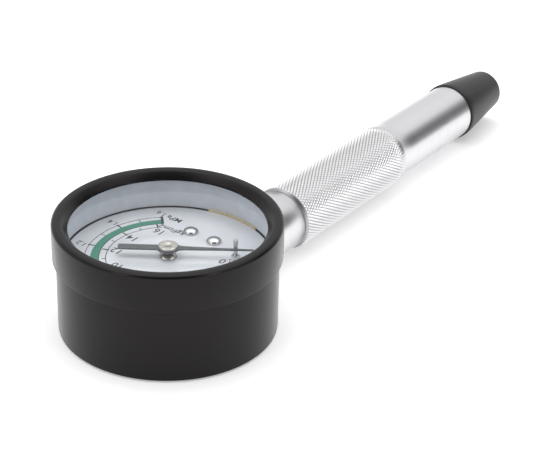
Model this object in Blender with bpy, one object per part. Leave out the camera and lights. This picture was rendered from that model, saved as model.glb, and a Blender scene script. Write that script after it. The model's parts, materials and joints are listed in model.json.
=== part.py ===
"""Press-on compression tester: a round pressure gauge on a knurled aluminium handle with a rubber cone.

Frame: the origin is the centre of the gauge case's back, +Z runs out through the dial, +Y is 12 o'clock on
the dial and the handle runs along -Y. Sizes below are millimetres; meshes are written in metres.
"""

import math

import bmesh
import bpy
from mathutils import Vector
from mathutils.geometry import tessellate_polygon

MM = 0.001
GAP = 0.3  # between faces that touch on the real object
RUN = 0.1  # radial clearance of a small pin in its hole

# Gauge case and bezel
CASE_R = 29.05
CASE_IN_R = 28.3
CASE_TOP = 28.0
CASE_FLOOR = 2.0
BACK_R = 26.0  # raised back panel that the gauge rests on
BACK_STEP = 0.5
BEZEL_R = 30.0
BEZEL_IN_R = CASE_R + GAP
BEZEL_Z0 = 21.1
BEZEL_Z1 = 31.3
CREST_R = 1.0  # rounding of the bezel's outer edge
CREST_IN_R = 27.4  # where the flat crest turns into the inner slope
LIP_R = 25.75
LIP_TOP = 29.5
LIP_UNDER = 28.9

# Stack under the bezel's lip
WINDOW_R = CASE_IN_R - GAP
WINDOW_Z = (26.6, 28.6)
GASKET_IN_R = 27.0
GASKET_Z = (25.8, 26.3)
SPACER_IN_R = 27.45
SPACER_Z = (20.3, 25.5)
DIAL_R = 27.0
DIAL_Z = (19.35, 20.1)
DIAL_SCREWS = ((3.2, -13.6), (-4.8, -13.3))

# Pointer, its stop and its arbor
POINTER_REST = -145.2  # direction of the needle at zero pressure, degrees from +X
POINTER_TIP_R = 22.1
POINTER_TAIL_R = 13.0
POINTER_Z = (22.35, 22.75)
BOSS_R = 2.6
BOSS_Z = (22.85, 23.5)
STOP_R = 17.5
STOP_ANGLE = -142.0
STOP_TOP = 25.1

# Movement: a pinion on the pointer's arbor and a toothed sector that the tube pulls round
MODULE = 0.25
PINION_TEETH = 12
SECTOR_TEETH = 108  # full-circle count of the sector's pitch
SECTOR_AT = Vector((0.0, -MODULE * (PINION_TEETH + SECTOR_TEETH) / 2.0))
TAIL_LENGTH = 6.0
TAIL_ANGLE = -52.49
LINK_LENGTH = 12.0
LINK_ANGLE = 52.06
BACK_PLATE_Z = (4.0, 5.2)
FRONT_PLATE_Z = (17.9, 19.05)
PINION_Z = (9.6, 12.0)
SECTOR_Z = (10.2, 11.2)
LINK_Z = (11.6, 12.4)
TAB_Z = (12.8, 13.8)
HAIRSPRING_Z = (6.6, 7.2)
SHAFT_FOOT = BACK_PLATE_Z[0] - 0.4  # both arbors end just behind the back plate
SHAFT_SHOULDER = BACK_PLATE_Z[1] + GAP
PILLARS = ((-8.0, 4.0), (8.0, 4.0), (-7.5, -12.0))
MOVEMENT_SCREWS = ((-7.0, -23.2), (7.0, -23.2))

# Bourdon tube: a flattened tube bent to an arc about the case's axis
TUBE_R = 20.0
TUBE_ROOT = 248.0
TUBE_TIP = -30.0
TUBE_HALF = (1.2, 4.5)  # half of the section, radially and along Z
TUBE_WALL = 0.35
TIP_PIVOT = Vector((-1.8, 4.9))  # where the tube's free end swings about as it uncurls

# Socket block that the tube, the movement and the handle are fixed to
BLOCK_Z = (2.3, 17.6)
BLOCK_OUT_R = 28.0
BLOCK_HALF_X = 10.0
BLOCK_IN_Y = -21.6
LUG_Z = (4.4, 14.4)
RIB_R = (27.1, 27.35)
RIB_TOP = 20.7
RIB_SPAN = (249.5, 285.0)
STEM_R = 5.5
STEM_END = 45.0
CASE_SCREWS = ((-4.5, -23.3), (4.5, -23.3))

# Handle, along -Y at this height; every S value is a distance from the dial's axis
AXIS_Z = 9.4
TUBE_AXIS_R = 1.5  # air passage
NECK_R = 8.65
KNURL_R = 9.35
NECK_S = (29.6, 50.7)
KNURL_S = (51.0, 103.3)
BARREL_S = (103.6, 143.4)
BARREL_START_R = 9.2
BARREL_TAPER_S = 108.6
SPIGOT_R = 6.5
SOCKET_R = 6.8
CONE_S = (143.7, 167.0)
CONE_MAX_R = 9.1
CONE_END_R = 6.4
CONE_MOUTH_R = 3.0
CONE_BORE_R = 5.2
CONE_SEAT_S = 152.9  # where the cone's bore narrows past the insert
INSERT_R = 5.7
INSERT_NOSE_R = 4.3
INSERT_START_S = 125.8
BARBS_S = (144.4, 148.2)
JOINT_BORE_R = 3.0  # air passage between neck and barrel

# Check valve in the nose, from the handle's side to the mouth
VALVE_SHOULDER_S = 131.8
VALVE_SPRING_S = (132.3, 136.7)
POPPET_S = (137.2, 138.2)
CORE_S = (138.5, 151.9)
CORE_SEAL_S = (143.5, 145.1)
VALVE_PIN_S = (134.0, 153.1)
CORE_BORE_R = 2.9

# Smoothness
BIG = 56
MID = 28
SMALL = 14

ALUMINIUM = ((0.80, 0.80, 0.81), 0.32, 1.0)
BLACK_PAINT = ((0.025, 0.024, 0.025), 0.35, 0.0)
BRASS = ((0.72, 0.52, 0.24), 0.35, 1.0)
NICKEL = ((0.70, 0.67, 0.62), 0.28, 1.0)
STEEL = ((0.62, 0.63, 0.65), 0.3, 1.0)
DARK_STEEL = ((0.16, 0.17, 0.18), 0.45, 0.4)
RUBBER = ((0.045, 0.045, 0.047), 0.65, 0.0)
BRONZE = ((0.60, 0.40, 0.22), 0.4, 1.0)
WHITE_ENAMEL = ((0.83, 0.84, 0.85), 0.2, 0.0)
PALE_PLASTIC = ((0.62, 0.66, 0.70), 0.5, 0.0)
CLEAR = ((0.95, 0.97, 0.98), 0.03, 0.0)


def clear_scene():
    for obj in list(bpy.data.objects):
        bpy.data.objects.remove(obj, do_unlink=True)


def polar(radius, degrees, centre=(0.0, 0.0)):
    a = math.radians(degrees)
    return (centre[0] + radius * math.cos(a), centre[1] + radius * math.sin(a))


def arc(radius, start, end, steps, centre=(0.0, 0.0)):
    """Points on an arc, both ends included, angles in degrees."""
    return [polar(radius, start + (end - start) * i / steps, centre) for i in range(steps + 1)]


def make(name, body, finish, pivot=(0.0, 0.0, 0.0)):
    """Make one named object from a body's points and faces in millimetres, with its origin at pivot."""
    points, faces = body
    bm = bmesh.new()
    verts = [bm.verts.new((Vector(p) - Vector(pivot)) * MM) for p in points]
    for face in faces:
        bm.faces.new([verts[i] for i in face])
    bmesh.ops.recalc_face_normals(bm, faces=bm.faces[:])
    if bm.calc_volume(signed=True) < 0.0:
        bmesh.ops.reverse_faces(bm, faces=bm.faces[:])
    mesh = bpy.data.meshes.new(name)
    bm.to_mesh(mesh)
    bm.free()
    mesh.shade_smooth()
    mesh.set_sharp_from_angle(angle=math.radians(35.0))
    colour, roughness, metallic = finish
    material = bpy.data.materials.new(name + "_finish")
    material.use_nodes = True
    shader = material.node_tree.nodes["Principled BSDF"]
    shader.inputs["Base Color"].default_value = (*colour, 1.0)
    shader.inputs["Roughness"].default_value = roughness
    shader.inputs["Metallic"].default_value = metallic
    mesh.materials.append(material)
    obj = bpy.data.objects.new(name, mesh)
    obj.location = Vector(pivot) * MM
    bpy.context.scene.collection.objects.link(obj)
    return obj


def turned(outline, segments, place=lambda r, h, a: (r * math.cos(a), r * math.sin(a), h)):
    """Revolve a closed outline of (radius, height) points; points on the axis become single vertices."""
    points = []
    rings = []
    for radius, height in outline:
        if radius < 1e-6:
            rings.append([len(points)] * segments)
            points.append(place(0.0, height, 0.0))
        else:
            rings.append(list(range(len(points), len(points) + segments)))
            points += [place(radius, height, 2.0 * math.pi * i / segments) for i in range(segments)]
    faces = []
    for k, ring in enumerate(rings):
        after = rings[(k + 1) % len(rings)]
        for i in range(segments):
            j = (i + 1) % segments
            corners = [ring[i], ring[j], after[j], after[i]]
            face = [c for n, c in enumerate(corners) if c != corners[n - 1]]
            if len(face) > 2:
                faces.append(face)
    return points, faces


def upright(x, y):
    """Placement for a turned body whose axis is parallel to Z through (x, y)."""
    return lambda r, h, a: (x + r * math.cos(a), y + r * math.sin(a), h)


def along_handle(r, s, a):
    """Placement for a body turned about the handle's axis, s being its distance from the dial's axis."""
    return (r * math.cos(a), -s, AXIS_Z + r * math.sin(a))


def plate(loops, z0, z1):
    """A flat plate with the first loop as its outline and the others as holes."""
    flat = [[Vector((x, y, 0.0)) for x, y in loop] for loop in loops]
    count = sum(len(loop) for loop in loops)
    points = [(x, y, z) for z in (z0, z1) for loop in loops for x, y in loop]
    faces = []
    for a, b, c in tessellate_polygon(flat):
        faces.append((a, b, c))
        faces.append((a + count, c + count, b + count))
    start = 0
    for loop in loops:
        for i in range(len(loop)):
            a = start + i
            b = start + (i + 1) % len(loop)
            faces.append((a, b, b + count, a + count))
        start += len(loop)
    return points, faces


def loft(sections):
    """Skin a chain of equal closed sections and cap both ends."""
    n = len(sections[0])
    points = [p for section in sections for p in section]
    faces = [tuple(range(n)), tuple(range(len(points) - n, len(points)))]
    for k in range(len(sections) - 1):
        for i in range(n):
            j = (i + 1) % n
            faces.append((k * n + i, k * n + j, (k + 1) * n + j, (k + 1) * n + i))
    return points, faces


def hole(radius, x, y, steps=SMALL):
    return arc(radius, 0.0, 360.0 * (steps - 1) / steps, steps - 1, (x, y))


def cutter(name, body):
    obj = make(name, body, STEEL)
    obj.hide_render = True
    obj.display_type = "WIRE"
    return obj


def combine(obj, other, operation):
    """Boolean the other object into obj as a live modifier."""
    modifier = obj.modifiers.new(other.name, "BOOLEAN")
    modifier.operation = operation
    modifier.solver = "EXACT"
    modifier.object = other


# ---------------------------------------------------------------- case, bezel, window


def stem_cylinder(radius, s0, s1):
    return turned([(0.0, s0), (radius, s0), (radius, s1), (0.0, s1)], MID, along_handle)


def case():
    outline = [(0.0, 0.0), (BACK_R - 0.3, 0.0), (BACK_R, BACK_STEP), (CASE_R - 0.6, BACK_STEP)]
    outline += [(CASE_R - 0.15, BACK_STEP + 0.15), (CASE_R, BACK_STEP + 0.6)]
    outline += [(CASE_R, CASE_TOP), (CASE_IN_R, CASE_TOP)]
    outline += [(CASE_IN_R, CASE_FLOOR + 0.6), (CASE_IN_R - 0.6, CASE_FLOOR), (0.0, CASE_FLOOR)]
    obj = make("case", turned(outline, BIG), BLACK_PAINT)
    combine(obj, cutter("case_stem_hole", stem_cylinder(STEM_R + GAP, 24.0, 34.0)), "DIFFERENCE")
    for n, (x, y) in enumerate(CASE_SCREWS):
        sink = [(0.0, -0.5), (2.7, -0.5), (2.2, 0.0), (1.3, 0.9), (1.3, 2.6), (0.0, 2.6)]
        combine(obj, cutter(f"case_screw_hole_{n}", turned(sink, SMALL, upright(x, y))), "DIFFERENCE")


def screws(name, outline, places):
    """One screw, turned from its outline, at each place."""
    for n, (x, y) in enumerate(places, 1):
        make(f"{name}_{n}", turned(outline, SMALL, upright(x, y)), STEEL)


def case_screws():
    outline = [(0.0, 0.15), (1.85, 0.15), (1.85, 0.2), (1.0, 1.05), (1.0, 8.0), (0.0, 8.0)]
    screws("case_screw", outline, CASE_SCREWS)


def bezel():
    centre = (BEZEL_R - CREST_R, BEZEL_Z1 - CREST_R)
    outline = [(BEZEL_IN_R, BEZEL_Z0), (BEZEL_R - 0.2, BEZEL_Z0), (BEZEL_R, BEZEL_Z0 + 0.25)]
    outline += arc(CREST_R, 0.0, 90.0, 6, centre)
    outline += [(CREST_IN_R, BEZEL_Z1), (LIP_R, LIP_TOP), (LIP_R, LIP_UNDER), (BEZEL_IN_R, LIP_UNDER)]
    make("bezel", turned(outline, BIG), BLACK_PAINT)


def ring(name, r0, r1, z, finish):
    outline = [(r0, z[0]), (r1, z[0]), (r1, z[1]), (r0, z[1])]
    make(name, turned(outline, BIG), finish)


def window():
    outline = [(0.0, WINDOW_Z[0]), (WINDOW_R, WINDOW_Z[0]), (WINDOW_R, WINDOW_Z[1]), (0.0, WINDOW_Z[1])]
    make("window", turned(outline, BIG), CLEAR)


# ---------------------------------------------------------------- dial and pointer


def dial_plate():
    loops = [hole(DIAL_R, 0.0, 0.0, BIG), hole(1.3, 0.0, 0.0)]
    loops += [hole(1.2, x, y) for x, y in DIAL_SCREWS]
    loops.append(hole(0.75, *polar(STOP_R, STOP_ANGLE), 12))
    make("dial_plate", plate(loops, *DIAL_Z), WHITE_ENAMEL)


def dial_screws():
    seat = DIAL_Z[1] + RUN
    outline = [(0.0, 17.9), (1.0, 17.9), (1.0, seat), (2.0, seat), (2.05, seat + 0.3)]
    outline += [(2.05 * math.cos(t), seat + 0.3 + math.sin(t)) for t in (0.4, 0.8, 1.2)]
    outline.append((0.0, seat + 1.3))
    screws("dial_screw", outline, DIAL_SCREWS)


def dial_bush():
    """Low polished collar round the arbor, standing on the dial."""
    z0 = DIAL_Z[1] + RUN
    outline = [(0.95, z0), (2.3, z0), (2.3, z0 + 0.2), (1.3, z0 + 1.0), (0.95, z0 + 1.0)]
    make("dial_bush", turned(outline, MID), NICKEL)


def stop_pin():
    foot = DIAL_Z[1] + RUN
    outline = [(0.0, 19.5), (0.6, 19.5), (0.6, foot), (1.1, foot), (1.0, foot + 0.3), (0.6, foot + 0.5)]
    outline += [(0.6, STOP_TOP - 0.2), (0.45, STOP_TOP), (0.0, STOP_TOP)]
    make("stop_pin", turned(outline, 16, upright(*polar(STOP_R, STOP_ANGLE))), STEEL)


def pointer():
    disc = 2.9
    blade = 0.75
    tail = 1.15
    a = math.degrees(math.asin(blade / disc))
    b = math.degrees(math.asin(tail / disc))
    outline = [(POINTER_TIP_R, -0.2), (POINTER_TIP_R, 0.2)]
    outline += arc(disc, a, 180.0 - b, 10)
    outline += [(-POINTER_TAIL_R, tail), (-POINTER_TAIL_R, -tail)]
    outline += arc(disc, 180.0 + b, 360.0 - a, 10)
    turn = math.radians(POINTER_REST)
    loops = [outline, hole(0.7, 0.0, 0.0, 16)]
    loops = [
        [(x * math.cos(turn) - y * math.sin(turn), x * math.sin(turn) + y * math.cos(turn)) for x, y in loop]
        for loop in loops
    ]
    make("pointer", plate(loops, *POINTER_Z), DARK_STEEL)


def pointer_boss():
    outline = [(0.7, BOSS_Z[0]), (BOSS_R, BOSS_Z[0]), (BOSS_R, BOSS_Z[1] - 0.35)]
    outline += [(BOSS_R - 0.3, BOSS_Z[1]), (0.9, BOSS_Z[1]), (0.7, BOSS_Z[1] - 0.15)]
    make("pointer_boss", turned(outline, 24), NICKEL)


# ---------------------------------------------------------------- movement


def tooth_points(teeth, centre_angle, flip=1.0):
    """Corners of one stub tooth as (radius, degrees), thin enough to leave backlash."""
    pitch_r = MODULE * teeth / 2.0
    root = pitch_r - 1.1 * MODULE
    tip = pitch_r + 0.8 * MODULE
    half = 0.18 * math.pi * MODULE
    flank = math.tan(math.radians(20.0))
    corners = []
    for radius, side in ((root, -1.0), (tip, -1.0), (tip, 1.0), (root, 1.0)):
        width = half - flank * (radius - pitch_r)
        corners.append((radius, centre_angle + flip * side * math.degrees(width / radius)))
    return corners


def pinion_arbor():
    seat = POINTER_Z[0] - 0.3
    end = BOSS_Z[1] - 0.3
    shaft = [(0.0, SHAFT_FOOT), (0.5, SHAFT_FOOT), (0.5, SHAFT_SHOULDER), (0.8, SHAFT_SHOULDER)]
    shaft += [(0.8, seat), (0.6, seat + 0.2), (0.6, end), (0.0, end)]
    obj = make("pinion_arbor", turned(shaft, 16), STEEL)
    teeth = []
    for n in range(PINION_TEETH):
        centre = 270.0 + (n + 0.5) * 360.0 / PINION_TEETH
        teeth += [polar(r, a) for r, a in tooth_points(PINION_TEETH, centre)]
    combine(obj, cutter("pinion_teeth", plate([teeth], *PINION_Z)), "UNION")


def spiral(r0, r1, turns, z0, z1, thickness, steps):
    sections = []
    for i in range(steps + 1):
        t = i / steps
        radius = r0 + (r1 - r0) * t
        angle = -360.0 * turns * (1.0 - t)
        inner = polar(radius - thickness / 2.0, angle)
        outer = polar(radius + thickness / 2.0, angle)
        sections.append([(*inner, z0), (*outer, z0), (*outer, z1), (*inner, z1)])
    return loft(sections)


def hairspring_parts():
    z0, z1 = HAIRSPRING_Z
    collet = [(0.9, z0 - 0.3), (1.5, z0 - 0.3), (1.5, z1 + 0.3), (0.9, z1 + 0.3)]
    make("hairspring_collet", turned(collet, 16), BRASS)
    make("hairspring", spiral(1.7, 5.0, 4.0, z0, z1, 0.12, 72), BRONZE)
    stud = [(0.0, SHAFT_SHOULDER), (0.7, SHAFT_SHOULDER), (0.7, z1 + 0.6), (0.0, z1 + 0.6)]
    make("hairspring_stud", turned(stud, 12, upright(5.9, 0.0)), BRASS)


def plate_outline(y_low, corner):
    """Plan of a movement plate, with its corners cut off and the lower ones cut by corner."""
    half = 9.6
    outline = [(half, 6.0), (7.0, 7.5), (-7.0, 7.5), (-half, 6.0), (-half, y_low + corner)]
    outline += [(corner - half, y_low), (half - corner, y_low), (half, y_low + corner)]
    return outline


def movement_plates():
    sector_hole = (SECTOR_AT.x, SECTOR_AT.y)
    front = [plate_outline(-25.3, 0.8), hole(0.9, 0.0, 0.0), hole(0.6, *sector_hole, 16)]
    front += [hole(1.1, x, y, 16) for x, y in DIAL_SCREWS]
    front += [hole(2.0, x, y, 16) for x, y in MOVEMENT_SCREWS]
    make("movement_front_plate", plate(front, *FRONT_PLATE_Z), BRASS)
    back = [plate_outline(-16.6, 3.6), hole(0.6, 0.0, 0.0, 16), hole(0.6, *sector_hole, 16)]
    back += [hole(0.9, x, y, 16) for x, y in PILLARS]
    make("movement_back_plate", plate(back, *BACK_PLATE_Z), BRASS)


def movement_fixings():
    z0 = BACK_PLATE_Z[1] + GAP
    z1 = FRONT_PLATE_Z[0] - GAP
    tube = [(0.9, z0), (1.5, z0), (1.5, z1), (0.9, z1)]
    for n, (x, y) in enumerate(PILLARS, 1):
        make(f"movement_pillar_{n}", turned(tube, 16, upright(x, y)), BRASS)
    head = BACK_PLATE_Z[0] - GAP
    end = head + 5.3
    outline = [(0.0, head - 1.0), (1.5, head - 1.0), (1.5, head), (0.7, head), (0.7, end), (0.0, end)]
    screws("pillar_screw", outline, PILLARS)
    start = BLOCK_Z[1] - 6.6
    head = FRONT_PLATE_Z[0] + 0.2
    outline = [(0.0, start), (1.0, start), (1.0, head)]
    outline += [(1.8, head + 0.2), (1.8, head + 0.8), (0.0, head + 0.8)]
    screws("movement_screw", outline, MOVEMENT_SCREWS)


def sector_gear():
    centre = tuple(SECTOR_AT)
    outline = []
    step = 360.0 / SECTOR_TEETH
    for n in range(-10, 2):
        outline += [polar(r, a, centre) for r, a in tooth_points(SECTOR_TEETH, 90.0 + n * step)]
    outline += arc(2.4, 130.0, 280.0, 8, centre)
    tail = polar(TAIL_LENGTH, TAIL_ANGLE, centre)
    outline += arc(1.3, TAIL_ANGLE - 90.0, TAIL_ANGLE + 90.0, 8, tail)
    outline += arc(2.4, 345.0, 385.0, 3, centre)
    opening = arc(11.3, 63.0, 87.0, 6, centre) + arc(4.6, 82.0, 68.0, 2, centre)
    loops = [outline, hole(1.0, *centre, 16), hole(0.7, *tail, 16), opening]
    make("sector_gear", plate(loops, *SECTOR_Z), BRASS, (*centre, 0.0))


def sector_arbor():
    neck = FRONT_PLATE_Z[0] - 0.4
    end = FRONT_PLATE_Z[1] - 0.05
    shaft = [(0.0, SHAFT_FOOT), (0.5, SHAFT_FOOT), (0.5, SHAFT_SHOULDER), (0.9, SHAFT_SHOULDER)]
    shaft += [(0.9, neck), (0.5, neck), (0.5, end), (0.0, end)]
    body = turned(shaft, 16, upright(*SECTOR_AT))
    make("sector_arbor", body, STEEL, (*SECTOR_AT, 0.0))


def link_and_pins():
    tail = polar(TAIL_LENGTH, TAIL_ANGLE, SECTOR_AT)
    tip = polar(LINK_LENGTH, LINK_ANGLE, tail)
    outline = arc(1.3, LINK_ANGLE + 90.0, LINK_ANGLE + 270.0, 8, tail)
    outline += arc(1.6, LINK_ANGLE - 60.0, LINK_ANGLE + 60.0, 8, tip)
    loops = [outline, hole(0.7, *tail, 16), hole(0.95, *tip, 16)]
    make("link", plate(loops, *LINK_Z), NICKEL, (*tail, 0.0))
    tail_z = (SECTOR_Z[0] - 0.7, LINK_Z[1] + 0.2)
    tip_z = (LINK_Z[0] - 0.4, TAB_Z[1] + 0.4)
    for name, at, pivot, z in (("tail_pin", tail, SECTOR_AT, tail_z), ("tip_pin", tip, TIP_PIVOT, tip_z)):
        pin = [(0.0, z[0]), (0.6, z[0]), (0.6, z[1]), (0.0, z[1])]
        make(name, turned(pin, 16, upright(*at)), STEEL, (*pivot, 0.0))
    return tip


# ---------------------------------------------------------------- Bourdon tube and socket


def tube_section(degrees, inset, steps=8):
    """One flattened section of the tube, a stadium standing on its edge."""
    half_r = TUBE_HALF[0] - inset
    straight = TUBE_HALF[1] - TUBE_HALF[0]
    section = []
    for top in (1.0, -1.0):
        for i in range(steps // 2 + 1):
            a = math.pi * i / (steps // 2)
            radial = half_r * math.cos(a) * top
            height = top * (straight + half_r * math.sin(a))
            section.append((*polar(TUBE_R + radial, degrees), AXIS_Z + height))
    return section


def bourdon_tube():
    steps = 28
    span = TUBE_TIP - TUBE_ROOT
    angles = [TUBE_ROOT + span * i / steps for i in range(steps + 1)]
    inner = [tube_section(a, TUBE_WALL) for a in reversed(angles[:-1])]
    outer = [tube_section(a, 0.0) for a in angles]
    make("bourdon_tube", loft(inner + outer), BRONZE)


def bourdon_tip(tip):
    start = TUBE_TIP - 1.0
    end = TUBE_TIP - 8.0
    cap = arc(TUBE_R + 1.7, end, start, 3) + arc(TUBE_R - 1.7, start, end, 3)
    z = (AXIS_Z - TUBE_HALF[1] - 0.2, AXIS_Z + TUBE_HALF[1] + 0.2)
    obj = make("bourdon_tip", plate([cap], *z), BRASS, (*TIP_PIVOT, 0.0))
    root = polar(TUBE_R - 0.8, TUBE_TIP - 4.5)
    away = math.degrees(math.atan2(tip[1] - root[1], tip[0] - root[0]))
    tab = arc(1.4, away - 90.0, away + 90.0, 8, tip)
    tab += [polar(1.4, away + 90.0, root), polar(1.4, away - 90.0, root)]
    tab_body = plate([tab, hole(0.7, *tip, 12)], *TAB_Z)
    combine(obj, cutter("bourdon_tip_tab", tab_body), "UNION")


def socket_block():
    """Brass block with the stem, the root lug of the tube and a rib that stands past the dial's edge."""
    half_angle = math.degrees(math.asin(BLOCK_HALF_X / BLOCK_OUT_R))
    plan = arc(BLOCK_OUT_R, 270.0 - half_angle, 270.0 + half_angle, 10)
    plan += [(BLOCK_HALF_X, BLOCK_IN_Y), (-BLOCK_HALF_X, BLOCK_IN_Y)]
    obj = make("socket_block", plate([plan], *BLOCK_Z), BRASS)
    lug = arc(TUBE_R + 4.0, 249.2, 262.0, 3) + arc(TUBE_R - 2.0, 262.0, 249.2, 3)
    combine(obj, cutter("socket_lug", plate([lug], *LUG_Z)), "UNION")
    rib = arc(RIB_R[1], *RIB_SPAN, 12) + arc(RIB_R[0], *reversed(RIB_SPAN), 12)
    combine(obj, cutter("socket_rib", plate([rib], 15.0, RIB_TOP)), "UNION")
    combine(obj, cutter("socket_stem", stem_cylinder(STEM_R, 26.0, STEM_END)), "UNION")
    low_holes = ("socket_screw_hole", CASE_SCREWS, (BLOCK_Z[0] - 1.3, BLOCK_Z[0] + 6.0))
    high_holes = ("socket_plate_hole", MOVEMENT_SCREWS, (BLOCK_Z[1] - 7.0, BLOCK_Z[1] + 1.0))
    for name, places, z in (low_holes, high_holes):
        outline = [(0.0, z[0]), (1.2, z[0]), (1.2, z[1]), (0.0, z[1])]
        for n, (x, y) in enumerate(places):
            body = turned(outline, 16, upright(x, y))
            combine(obj, cutter(f"{name}_{n}", body), "DIFFERENCE")
    combine(obj, cutter("socket_bore", stem_cylinder(1.2, 23.0, STEM_END + 1.0)), "DIFFERENCE")


# ---------------------------------------------------------------- handle


def handle_part(name, outline, finish, segments=MID, pivot_s=0.0):
    return make(name, turned(outline, segments, along_handle), finish, (0.0, -pivot_s, AXIS_Z))


def groove(s, radius, depth=1.2, width=2.0):
    """Outline points of an O-ring groove centred at s on a spigot, walked towards higher s."""
    s0 = s - width / 2.0
    s1 = s + width / 2.0
    return [(radius, s0), (radius - depth, s0), (radius - depth, s1), (radius, s1)]


def o_ring(name, s):
    centre_r = SPIGOT_R - 0.45
    points = [(centre_r + 0.65 * math.cos(t), s + 0.65 * math.sin(t)) for t in
              (2.0 * math.pi * i / 6 for i in range(6))]
    handle_part(name, points, RUBBER, 20)


def neck_adapter():
    s0, s1 = NECK_S
    spigot_end = s1 + 9.3
    outline = [(STEM_R + GAP, s0), (NECK_R - 0.3, s0), (NECK_R, s0 + 0.3), (NECK_R, s1 - 0.3)]
    outline += [(NECK_R - 0.3, s1), (SPIGOT_R, s1)]
    outline += groove(s1 + 3.0, SPIGOT_R)
    outline += [(SPIGOT_R, spigot_end), (TUBE_AXIS_R, spigot_end)]
    outline += [(TUBE_AXIS_R, STEM_END + 1.0), (STEM_R + GAP, STEM_END + 1.0)]
    handle_part("neck_adapter", outline, ALUMINIUM)


def knurled_grip():
    s0, s1 = KNURL_S
    inner_end = NECK_S[1] + 9.7
    spigot_start = BARREL_S[0] - 10.6
    outline = [(SOCKET_R, s0), (NECK_R, s0), (KNURL_R, s0 + 0.6), (KNURL_R, s1 - 0.6)]
    outline += [(BARREL_START_R, s1), (SOCKET_R, s1), (SOCKET_R, spigot_start)]
    outline += [(JOINT_BORE_R, spigot_start), (JOINT_BORE_R, inner_end), (SOCKET_R, inner_end)]
    handle_part("knurled_grip", outline, ALUMINIUM)


def barrel_tube():
    s0, s1 = BARREL_S
    insert_bore = INSERT_R + GAP
    bore_end = INSERT_START_S - GAP
    outline = [(JOINT_BORE_R, s0 - 10.0), (SPIGOT_R, s0 - 10.0)]
    outline += groove(s0 - 4.0, SPIGOT_R)
    outline += [(SPIGOT_R, s0), (BARREL_START_R, s0), (NECK_R, BARREL_TAPER_S), (NECK_R, s1)]
    outline += [(insert_bore, s1), (insert_bore, bore_end), (JOINT_BORE_R, bore_end)]
    handle_part("barrel_tube", outline, ALUMINIUM)


def nose_insert():
    s0 = INSERT_START_S
    step = BARREL_S[1] + 0.1
    end = CONE_SEAT_S - 0.4
    outline = [(1.2, s0), (INSERT_R, s0), (INSERT_R, step), (INSERT_NOSE_R, step)]
    for s in BARBS_S:
        outline += [(INSERT_NOSE_R, s), (INSERT_NOSE_R + 0.6, s + 0.4), (INSERT_NOSE_R, s + 3.0)]
    outline += [(INSERT_NOSE_R, end), (CORE_BORE_R, end)]
    outline += [(CORE_BORE_R, VALVE_SHOULDER_S), (1.2, VALVE_SHOULDER_S)]
    handle_part("nose_insert", outline, BRASS, 24)


def cone_nozzle():
    s0, s1 = CONE_S
    rounding = 0.9
    centre_r = CONE_END_R - rounding
    outline = [(CONE_BORE_R, s0), (CONE_MAX_R - 0.25, s0), (CONE_MAX_R, s0 + 0.3), (CONE_MAX_R, s0 + 1.0)]
    outline.append((8.9, s0 + 3.1))
    outline += arc(rounding, 0.0, 90.0, 4, (centre_r, s1 - rounding))
    outline += [(CONE_MOUTH_R, s1), (CONE_MOUTH_R, CONE_SEAT_S + 0.6), (CONE_BORE_R, CONE_SEAT_S)]
    handle_part("cone_nozzle", outline, RUBBER, 36)


# ---------------------------------------------------------------- check valve in the nose


def check_valve():
    """Core body, its seal, and the pin with its poppet that a spring holds shut."""
    core_r = CORE_BORE_R - GAP
    seal_r = core_r - 0.6
    s0, s1 = CORE_S
    seal0 = CORE_SEAL_S[0] - 0.2
    seal1 = CORE_SEAL_S[1] + 0.2
    body = [(1.0, s0), (core_r, s0), (core_r, seal0), (seal_r, seal0), (seal_r, seal1), (core_r, seal1)]
    body += [(core_r, s1), (1.0, s1)]
    handle_part("valve_core_body", body, BRASS, SMALL)
    s0, s1 = CORE_SEAL_S
    seal = [(seal_r + 0.1, s0), (core_r + 0.1, s0), (core_r + 0.1, s1), (seal_r + 0.1, s1)]
    handle_part("valve_core_seal", seal, RUBBER, SMALL)
    s0, s1 = VALVE_PIN_S
    pin = [(0.0, s0), (0.6, s0), (0.6, s1 - 0.2), (0.4, s1), (0.0, s1)]
    handle_part("valve_pin", pin, STEEL, 16, s1)
    poppet = [(0.7, POPPET_S[0]), (1.6, POPPET_S[0]), (1.8, POPPET_S[1]), (0.7, POPPET_S[1])]
    handle_part("valve_poppet", poppet, RUBBER, 16, s1)
    valve_spring()


def valve_spring():
    s0, s1 = VALVE_SPRING_S
    turns = 5
    steps = 10 * turns
    sections = []
    for i in range(steps + 1):
        a = 2.0 * math.pi * turns * i / steps
        s = s0 + (s1 - s0) * i / steps
        wire = [polar(0.18, 72.0 * k, (1.4, s)) for k in range(5)]
        sections.append([along_handle(r, h, a) for r, h in wire])
    make("valve_spring", loft(sections), STEEL)


def main():
    clear_scene()
    case()
    case_screws()
    bezel()
    window()
    ring("window_gasket", GASKET_IN_R, WINDOW_R, GASKET_Z, PALE_PLASTIC)
    ring("spacer_ring", SPACER_IN_R, WINDOW_R, SPACER_Z, PALE_PLASTIC)
    dial_plate()
    dial_screws()
    dial_bush()
    stop_pin()
    pointer()
    pointer_boss()
    pinion_arbor()
    hairspring_parts()
    movement_plates()
    movement_fixings()
    sector_gear()
    sector_arbor()
    tip = link_and_pins()
    bourdon_tube()
    bourdon_tip(tip)
    socket_block()
    neck_adapter()
    o_ring("neck_o_ring", NECK_S[1] + 3.0)
    knurled_grip()
    barrel_tube()
    o_ring("barrel_o_ring", BARREL_S[0] - 4.0)
    nose_insert()
    cone_nozzle()
    check_valve()


main()
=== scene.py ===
"""Looks of the press-on compression tester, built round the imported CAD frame.

Lengths below are millimetres unless a name ends in _M; a mesh is written in metres. S is a distance from the
dial's axis along the handle, which runs along -Y at the height AXIS_Z.
"""

import json
import math

import bmesh
import bpy
from mathutils import Matrix, Vector


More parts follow.
